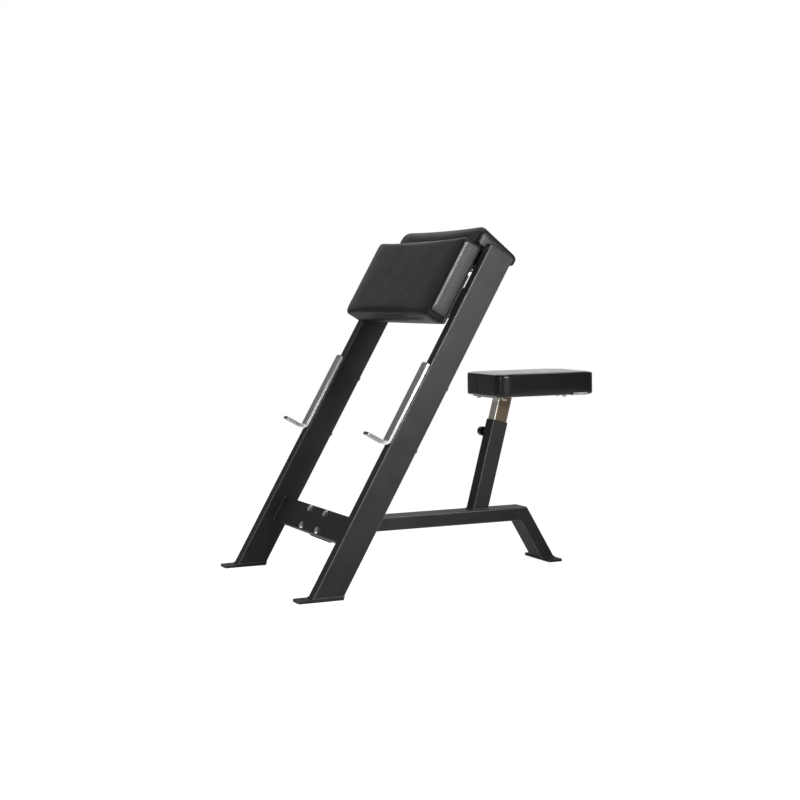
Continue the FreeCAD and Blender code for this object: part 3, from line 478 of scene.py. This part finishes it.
def padProfile(pad):
    # rows from the middle of one end, round its edge, along the pad, round the other edge to its middle
    length = pad["length"]
    near, far = (max(end["rise"]) for end in pad["ends"])
    bend = 1 - np.cos(np.linspace(0, np.pi / 2, padGrid["edge"]))
    middle = np.linspace(0, 1, padGrid["middle"])[1:-1]
    rows = [(0.0, share) for share in np.linspace(padGrid["capStart"], 1, padGrid["cap"])[:-1]]
    rows += [(near * share, 1.0) for share in bend]
    rows += [(near + (length - near - far) * share, 1.0) for share in middle]
    rows += [(length - far * share, 1.0) for share in bend[::-1]]
    rows += [(length, share) for share in np.linspace(1, padGrid["capStart"], padGrid["cap"])[1:]]
    return rows


def evaluated(piece):
    bpy.context.view_layer.update()
    return bpy.data.meshes.new_from_object(piece.evaluated_get(bpy.context.evaluated_depsgraph_get()))


def coordinates(mesh):
    flat = np.empty(len(mesh.vertices) * 3)
    mesh.vertices.foreach_get("co", flat)
    return flat.reshape(-1, 3)


def swell(piece, pad, held):
    # blow the cover up as cloth, held at its seams and back; movement fades out towards the most allowed
    start = coordinates(piece.data)
    group = piece.vertex_groups.new(name="held")
    group.add(np.flatnonzero(held(start)).tolist(), 1.0, "REPLACE")
    cloth = piece.modifiers.new("cloth", "CLOTH")
    cloth.settings.vertex_group_mass = "held"
    cloth.settings.use_pressure = True
    cloth.settings.uniform_pressure_force = pad["pressure"]
    cloth.settings.effector_weights.gravity = 0
    cloth.settings.quality = clothRun["quality"]
    cloth.point_cache.frame_start = 1
    cloth.point_cache.frame_end = clothRun["frames"]
    for number in range(1, clothRun["frames"] + 1):
        scene.frame_set(number)
        bpy.context.view_layer.update()
    moved = coordinates(evaluated(piece)) - start
    piece.modifiers.remove(cloth)
    piece.vertex_groups.clear()
    scene.frame_set(1)
    far = np.linalg.norm(moved, axis=1)[:, None] + tiny
    end = start + moved / far * pad["most"] * np.tanh(far / pad["most"])
    piece.data.vertices.foreach_set("co", end.ravel())
    piece.data.update()


def paddedCover(pad, place, held, finish):
    # a closed grid, remeshed evenly, swollen as cloth and smoothed; it stands for the cushion
    pad["place"] = place
    around = padGrid["around"]
    shares = np.linspace(0, 1, around, endpoint=False)
    rows = padProfile(pad)
    points = np.concatenate([padPoint(pad, shares, *row) for row in rows])
    faces = gridFaces(len(rows), around, True).tolist()
    faces += [list(range(around))[::-1], list(range((len(rows) - 1) * around, len(rows) * around))]
    piece = newPiece(pad["name"], points, faces, finish, pad["body"])
    remesh = piece.modifiers.new("skin", "REMESH")
    remesh.mode = "VOXEL"
    remesh.voxel_size = pad["voxel"]
    mesh = evaluated(piece)
    piece.modifiers.remove(remesh)
    piece.data = mesh
    swell(piece, pad, held)
    piece.data.polygons.foreach_set("use_smooth", np.ones(len(piece.data.polygons), bool))
    soft = piece.modifiers.new("soft", "SUBSURF")
    soft.levels = soft.render_levels = 1
    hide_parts(pad["node"])
    print(pad["name"], "vertices", len(piece.data.vertices))


def within(values, reach):
    return (values > reach[0]) & (values < reach[1])


def heldArm(spots):
    # the back, the rolled edges of the ends, and the stitched band beside the front edge
    held = armPad["held"]
    depth, side = offColumn(spots)[0], np.abs(spots[:, 1])
    band = (side > held["bandSide"]) & (depth < held["bandDepth"])
    return (depth > held["back"]) | within(side, held["edge"]) | band


def heldTop(spots):
    # the base and the seams near the ends
    held = topPad["held"]
    return (offColumn(spots)[2] < held["base"]) | within(np.abs(spots[:, 1]), held["edge"])


def heldSeat(spots):
    # the base, the seam under the top edge and the upright joint on the front
    held = seatPad["held"]
    front = spots[:, 0] < bench["startX"] + held["jointAlong"]
    joint = (np.abs(spots[:, 1] - held["jointSide"]) < held["reach"]) & front
    return (spots[:, 2] < held["base"]) | (np.abs(spots[:, 2] - held["seam"]) < held["reach"]) | joint


paddedCover(armPad, armPlace, heldArm, finishes["vinyl"])
paddedCover(topPad, topPlace, heldTop, finishes["vinyl"])
paddedCover(seatPad, seatPlace, heldSeat, glossVinyl)


# sewing

# askew: a way that no seam runs along
sewing = dict(
    cord=0.0012, welt=0.0022, cordSunk=0.75, cordPoints=700, cordSides=8, askew=(0.37, 0.61, 0.7),
    jointRise=(0.521, 0.568), jointAlong=0.6904, jointPoints=30, thread=0.0007, threadSides=6, pitch=0.0056,
    slant=0.7, stitchUps=(0.884, 1.082), bandStart=-0.0585, bandEnd=-0.0520, startSide=0.3058, endSide=0.3064)


def seamCord(pad, name, rise, thick, thread):
    # the sewn edge as a thin cord laid round a pad where two of its panels meet
    count, sides = sewing["cordPoints"], sewing["cordSides"]
    spots = padPoint(pad, np.arange(count) / count, rise, sunk=thick * sewing["cordSunk"])
    points = tubePoints(spots, thick, sides, True, sewing["askew"])
    newPiece(name, points, tubeFaces(count, sides, True), thread, pad["body"])


def threadRuns(name, starts, ends, out, thread, body):
    # each stitch is a short bowed thread from its start to its end, thinner and sunk at both
    along = np.array([0.0, 0.12, 0.5, 0.88, 1.0])[None, :, None]
    lift = np.array([-1.0, 0.35, 0.7, 0.35, -1.0])[None, :, None] * sewing["thread"]
    thick = np.array([0.6, 1.0, 1.0, 1.0, 0.6])[None, :, None, None] * sewing["thread"]
    rings, sides = along.shape[1], sewing["threadSides"]
    ahead = ends - starts
    line = starts[:, None] + ahead[:, None] * along + out[:, None] * lift
    side = np.cross(ahead / np.linalg.norm(ahead, axis=1)[:, None], out)
    angle = np.linspace(0, 2 * np.pi, sides, endpoint=False)[None, None, :, None]
    section = np.cos(angle) * side[:, None, None] + np.sin(angle) * out[:, None, None]
    points = line[:, :, None] + thick * section
    one = tubeFaces(rings, sides, False)
    faces = [[spot + rings * sides * k for spot in face] for k in range(len(starts)) for face in one]
    newPiece(name, points, faces, thread, body)


for pad in (armPad, topPad):
    seamCord(pad, pad["name"] + "SeamLeft", pad["seamInset"], sewing["welt"], darkThread)
    seamCord(pad, pad["name"] + "SeamRight", pad["length"] - pad["seamInset"], sewing["welt"], darkThread)
seamCord(seatPad, "seatCoverSeam", seatPad["length"] - seatPad["seamInset"], sewing["cord"], darkThread)

# the seat's boxing is joined by one upright seam on its front
rise = np.linspace(*sewing["jointRise"], sewing["jointPoints"])
path = level(sewing["jointAlong"], seatPad["held"]["jointSide"], rise)
points = tubePoints(path, sewing["cord"], sewing["cordSides"], False, (1.0, 0.0, 0.0))
newPiece("seatJointSeam", points, tubeFaces(len(rise), sewing["cordSides"], False), glossVinyl, "seat")

# slanted stitches on the arm pad's end panels, beside the front edge
ups = np.arange(*sewing["stitchUps"], sewing["pitch"])
for sideName, side in bothSides:
    starts = onColumn(sewing["bandStart"], side * sewing["startSide"], ups)
    ends = onColumn(sewing["bandEnd"], side * sewing["endSide"], ups + sewing["pitch"] * sewing["slant"])
    out = np.broadcast_to(np.array([0.0, side, 0.0]), starts.shape)
    threadRuns("armPadStitch" + sideName, starts, ends, out, lightThread, "frame")
print("pads sewn")


# steel clips under the seat's edge

clip = dict(along=(0.941, 0.990), outline=(
    (0.098, 0.5124), (0.1204, 0.5124), (0.1212, 0.5132), (0.1212, 0.5208), (0.1199, 0.5208), (0.1199, 0.5137),
    (0.098, 0.5137)))


def clipAngle(name, side):
    # a thin angle hooked under the seat's edge: an L outline carried along the bench, closed at both ends
    outline = np.array(clip["outline"])
    count = len(outline)
    points = level(np.array(clip["along"])[:, None], side * outline[None, :, 0], outline[None, :, 1])
    faces = gridFaces(2, count, True).tolist() + [list(range(count))[::-1], list(range(count, 2 * count))]
    if side < 0:
        faces = [face[::-1] for face in faces]
    newPiece(name, points, faces, finishes["bright_steel"], "seat", False)


for sideName, side in bothSides:
    clipAngle("seatClip" + sideName, side)
print("clips set")


# weld beads

# askew: a way that no bead runs along
weld = dict(
    radius=0.0028, smallRadius=0.0014, plateRadius=0.002, ripple=0.10, pitch=0.0042, step=0.0012, sides=10,
    loopPoints=240, roundPoints=90, askew=(0.31, 0.54, 0.78))
# half sizes of the tubes that the beads run round, and the radii of their corners
tube = dict(
    narrow=0.020, wide=0.040, sleeve=0.025, post=0.022, foot=0.0462, rear=0.0231, corner=0.005,
    smallCorner=0.004)
# where the beads lie
joint = dict(
    inner=0.2995, crossDepth=0.056, crossHigh=0.150, crossBack=0.084, topDepth=0.050, topUp=1.083,
    armDepth=0.020, armUp=0.933, armShares=(0.12, 1.0), armStart=0.44, armOpen=-0.016,
    footAlong=0.0508, footSide=0.320, footUp=0.0085, sleeveUp=0.1705, rearAlong=0.89443, spineDepth=0.0842,
    housingRound=0.0102, housingSide=0.0252, housingUp=0.2369, plateAlong=0.76207, plateUp=0.5078)


def weldBead(name, path, closed, body="frame", slotName="powder_coat", radius=weld["radius"]):
    # a cord of overlapping ripples along a joint: its radius swells and shrinks once in each pitch
    step = np.linalg.norm(np.diff(path, axis=0), axis=1)
    run = np.concatenate([[0], np.cumsum(step)])
    count = int(run[-1] / weld["step"])
    at = np.linspace(0, run[-1], count, endpoint=not closed)
    line = np.stack([np.interp(at, run, path[:, k]) for k in range(3)], -1)
    swells = radius * (1 + weld["ripple"] * np.sin(2 * np.pi * at / weld["pitch"]))
    points = tubePoints(line, swells, weld["sides"], closed, weld["askew"])
    newPiece(name, points, tubeFaces(count, weld["sides"], closed), finishes[slotName], body)


def loop(halfLong, halfWide, corner=tube["corner"]):
    # a tube's outline as two rows of numbers, one for each way across it, closed on its first point
    return ringPoints(halfLong, halfWide, corner, np.linspace(0, 1, weld["loopPoints"])).T


columnTurn, sleeveTurn = (math.radians(bench[key]) for key in ("columnLean", "sleeveLean"))
crossUp = (joint["crossHigh"] + joint["crossBack"] * math.sin(columnTurn)) / math.cos(columnTurn)
for sideName, side in bothSides:
    inner = side * joint["inner"]
    long, wide = loop(tube["narrow"], tube["wide"])
    weldBead("crossWeld" + sideName, onColumn(long + joint["crossDepth"], inner, wide + crossUp), True)
    long, wide = loop(tube["narrow"], tube["narrow"], tube["smallCorner"])
    weldBead("topTubeWeld" + sideName, onColumn(long + joint["topDepth"], inner, wide + joint["topUp"]), True)
    long, wide = loop(tube["foot"], tube["narrow"])
    path = level(long + joint["footAlong"], wide + side * joint["footSide"], joint["footUp"])
    weldBead("footWeld" + sideName, path, True)
    # the arm tube's bead stops at the pad's plate: an open run from one edge round the back to the other
    shares = np.linspace(*joint["armShares"], weld["loopPoints"]) + joint["armStart"]
    ring = ringPoints(tube["narrow"], tube["wide"], tube["corner"], shares)
    keep = ring[ring[:, 0] > joint["armOpen"]]
    long, wide = keep[np.argsort(np.arctan2(keep[:, 1], keep[:, 0]))].T
    weldBead("armTubeWeld" + sideName, onColumn(long + joint["armDepth"], inner, wide + joint["armUp"]), False)
long, wide = loop(tube["sleeve"] / math.cos(sleeveTurn), tube["sleeve"], tube["smallCorner"])
weldBead("sleeveWeld", level(long + bench["sleeveFoot"], wide, joint["sleeveUp"]), True)
long, wide = loop(tube["rear"], tube["wide"])
weldBead("rearFootWeld", level(long + joint["rearAlong"], wide, joint["footUp"]), True)
long, wide = loop(tube["wide"], tube["narrow"] / math.cos(columnTurn))
weldBead("spineWeld", onColumn(joint["spineDepth"], long, wide + crossUp), True)
turn = np.linspace(0, 2 * np.pi, weld["roundPoints"])
long, wide = joint["housingRound"] * np.cos(turn), joint["housingRound"] * np.sin(turn)
path = onSleeve(long, joint["housingSide"], joint["housingUp"] + wide)
weldBead("housingWeld", path, True, radius=weld["smallRadius"])
long, wide = loop(tube["post"] / math.cos(sleeveTurn), tube["post"], tube["smallCorner"])
path = level(long + joint["plateAlong"], wide, joint["plateUp"])
weldBead("seatPlateWeld", path, True, "seat", "stainless", weld["plateRadius"])
print("welds laid")


# studio

studio = dict(worldLight=0.24, white=1.0, behind=(0.37, 0.83, 0.42), behindFrom=0.80, behindTo=0.93,
              floorReach=2.0, floorMatte=0.8, floorThin=0.36, floorGlow=0.90)
lamps = dict(
    sideLight=dict(place=(0.36, -2.1, 1.38), power=10.5, size=(0.4, 0.4), target=(-0.25, -0.34, 0.85), beam=56),
    leftLight=dict(place=(-2.7, -1.5, 1.3), power=20, size=(0.5, 1.7)),
    frontLight=dict(place=(-0.75, -3.5, 1.25), power=11, size=(0.4, 1.6)),
    topLight=dict(place=(0.2, 0.3, 3.4), power=24, size=(2.2, 2.2)),
    cornerLight=dict(place=(0.50, -3.1, 0.55), power=2.6, size=(0.25, 1.0), target=(0.3, -0.1, 0.55)),
)


def seenDirect(tree, mirrored=None):
    # one where the camera, a mirror or glass looks at it, zero where it lights the bench
    path = tree.nodes.new("ShaderNodeLightPath")
    shiny = path.outputs["Is Glossy Ray"]
    if mirrored:
        shiny = combined(tree, "MULTIPLY", shiny, mirrored)
    clear = combined(tree, "MAXIMUM", path.outputs["Is Camera Ray"], path.outputs["Is Transmission Ray"])
    return combined(tree, "MAXIMUM", clear, shiny)


def backdropSide(tree):
    # one towards the white backdrop behind the bench, zero towards the open front of the studio
    place = tree.nodes.new("ShaderNodeTexCoord")
    turned = tree.nodes.new("ShaderNodeVectorMath")
    turned.operation = "DOT_PRODUCT"
    turned.inputs[1].default_value = studio["behind"]
    tree.links.new(place.outputs["Generated"], turned.inputs[0])
    return spread(tree, turned.outputs["Value"], 0.0, 1.0, studio["behindFrom"], studio["behindTo"])


def switched(tree, fac, first, second, output):
    # the first shader where the factor is zero, the second where it is one
    mix = tree.nodes.new("ShaderNodeMixShader")
    end = tree.nodes.new(output)
    for number, source in enumerate((fac, first.outputs[0], second.outputs[0])):
        tree.links.new(source, mix.inputs[number])
    tree.links.new(mix.outputs[0], end.inputs["Surface"])


def backLight(tree, strength):
    item = tree.nodes.new("ShaderNodeBackground")
    item.inputs["Color"].default_value = (1, 1, 1, 1)
    item.inputs["Strength"].default_value = strength
    return item


def mattePaint(tree, tone):
    item = tree.nodes.new("ShaderNodeBsdfDiffuse")
    item.inputs["Color"].default_value = (*grey(tone), 1)
    return item


world = bpy.data.worlds.new("studioWorld")
scene.world = world
world.use_nodes = True
tree = world.node_tree
tree.nodes.clear()
switched(tree, seenDirect(tree, backdropSide(tree)), backLight(tree, studio["worldLight"]),
         backLight(tree, studio["white"]), "ShaderNodeOutputWorld")

floorMesh = bpy.data.meshes.new("studioFloor")
reach = studio["floorReach"]
corners = [(-reach, -reach, 0), (reach, -reach, 0), (reach, reach, 0), (-reach, reach, 0)]
floorMesh.from_pydata(corners, [], [(0, 1, 2, 3)])
floorPaint = bpy.data.materials.new("floorPaint")
floorPaint.use_nodes = True
tree = floorPaint.node_tree
tree.nodes.clear()
glow = tree.nodes.new("ShaderNodeEmission")
glow.inputs["Strength"].default_value = studio["floorGlow"]
both = tree.nodes.new("ShaderNodeAddShader")
tree.links.new(mattePaint(tree, studio["floorThin"]).outputs[0], both.inputs[0])
tree.links.new(glow.outputs[0], both.inputs[1])
switched(tree, seenDirect(tree), mattePaint(tree, studio["floorMatte"]), both, "ShaderNodeOutputMaterial")
floorMesh.materials.append(floorPaint)
studioFloor = bpy.data.objects.new("studioFloor", floorMesh)
scene.collection.objects.link(studioFloor)


def softLight(name, place, power, size, target=(0.0, 0.0, 0.55), beam=180):
    data = bpy.data.lights.new(name, "AREA")
    data.energy = power
    data.spread = math.radians(beam)
    data.shape = "RECTANGLE"
    data.size, data.size_y = size
    lamp = bpy.data.objects.new(name, data)
    lamp.location = place
    lamp.rotation_euler = (Vector(target) - Vector(place)).to_track_quat("-Z", "Y").to_euler()
    scene.collection.objects.link(lamp)


for name, lamp in lamps.items():
    softLight(name, **lamp)

# place in metres, turns in degrees, focal length and middle in pixels of the square picture
camera = dict(place=(-2.00693, -4.37710, 0.83820), yaw=24.39, pitch=4.18, roll=-0.72, focal=1617.4,
              middle=(415.4, 407.7), picture=800, sensor=36)
yaw, pitch, roll = (math.radians(camera[key]) for key in ("yaw", "pitch", "roll"))
ahead = Vector((math.sin(yaw) * math.cos(pitch), math.cos(yaw) * math.cos(pitch), -math.sin(pitch)))
right = Vector((math.cos(yaw), -math.sin(yaw), 0))
upward = right.cross(ahead)
right, upward = (right * math.cos(roll) + upward * math.sin(roll),
                 upward * math.cos(roll) - right * math.sin(roll))
lens = bpy.data.cameras.new("studioCamera")
lens.sensor_width = camera["sensor"]
lens.lens = camera["focal"] / camera["picture"] * camera["sensor"]
lens.shift_x = (camera["picture"] / 2 - camera["middle"][0]) / camera["picture"]
lens.shift_y = (camera["middle"][1] - camera["picture"] / 2) / camera["picture"]
eye = bpy.data.objects.new("studioCamera", lens)
eye.matrix_world = Matrix((right, upward, -ahead)).transposed().to_4x4()
eye.location = camera["place"]
scene.collection.objects.link(eye)
scene.camera = eye
scene.view_settings.view_transform = "Standard"
print("studio ready")
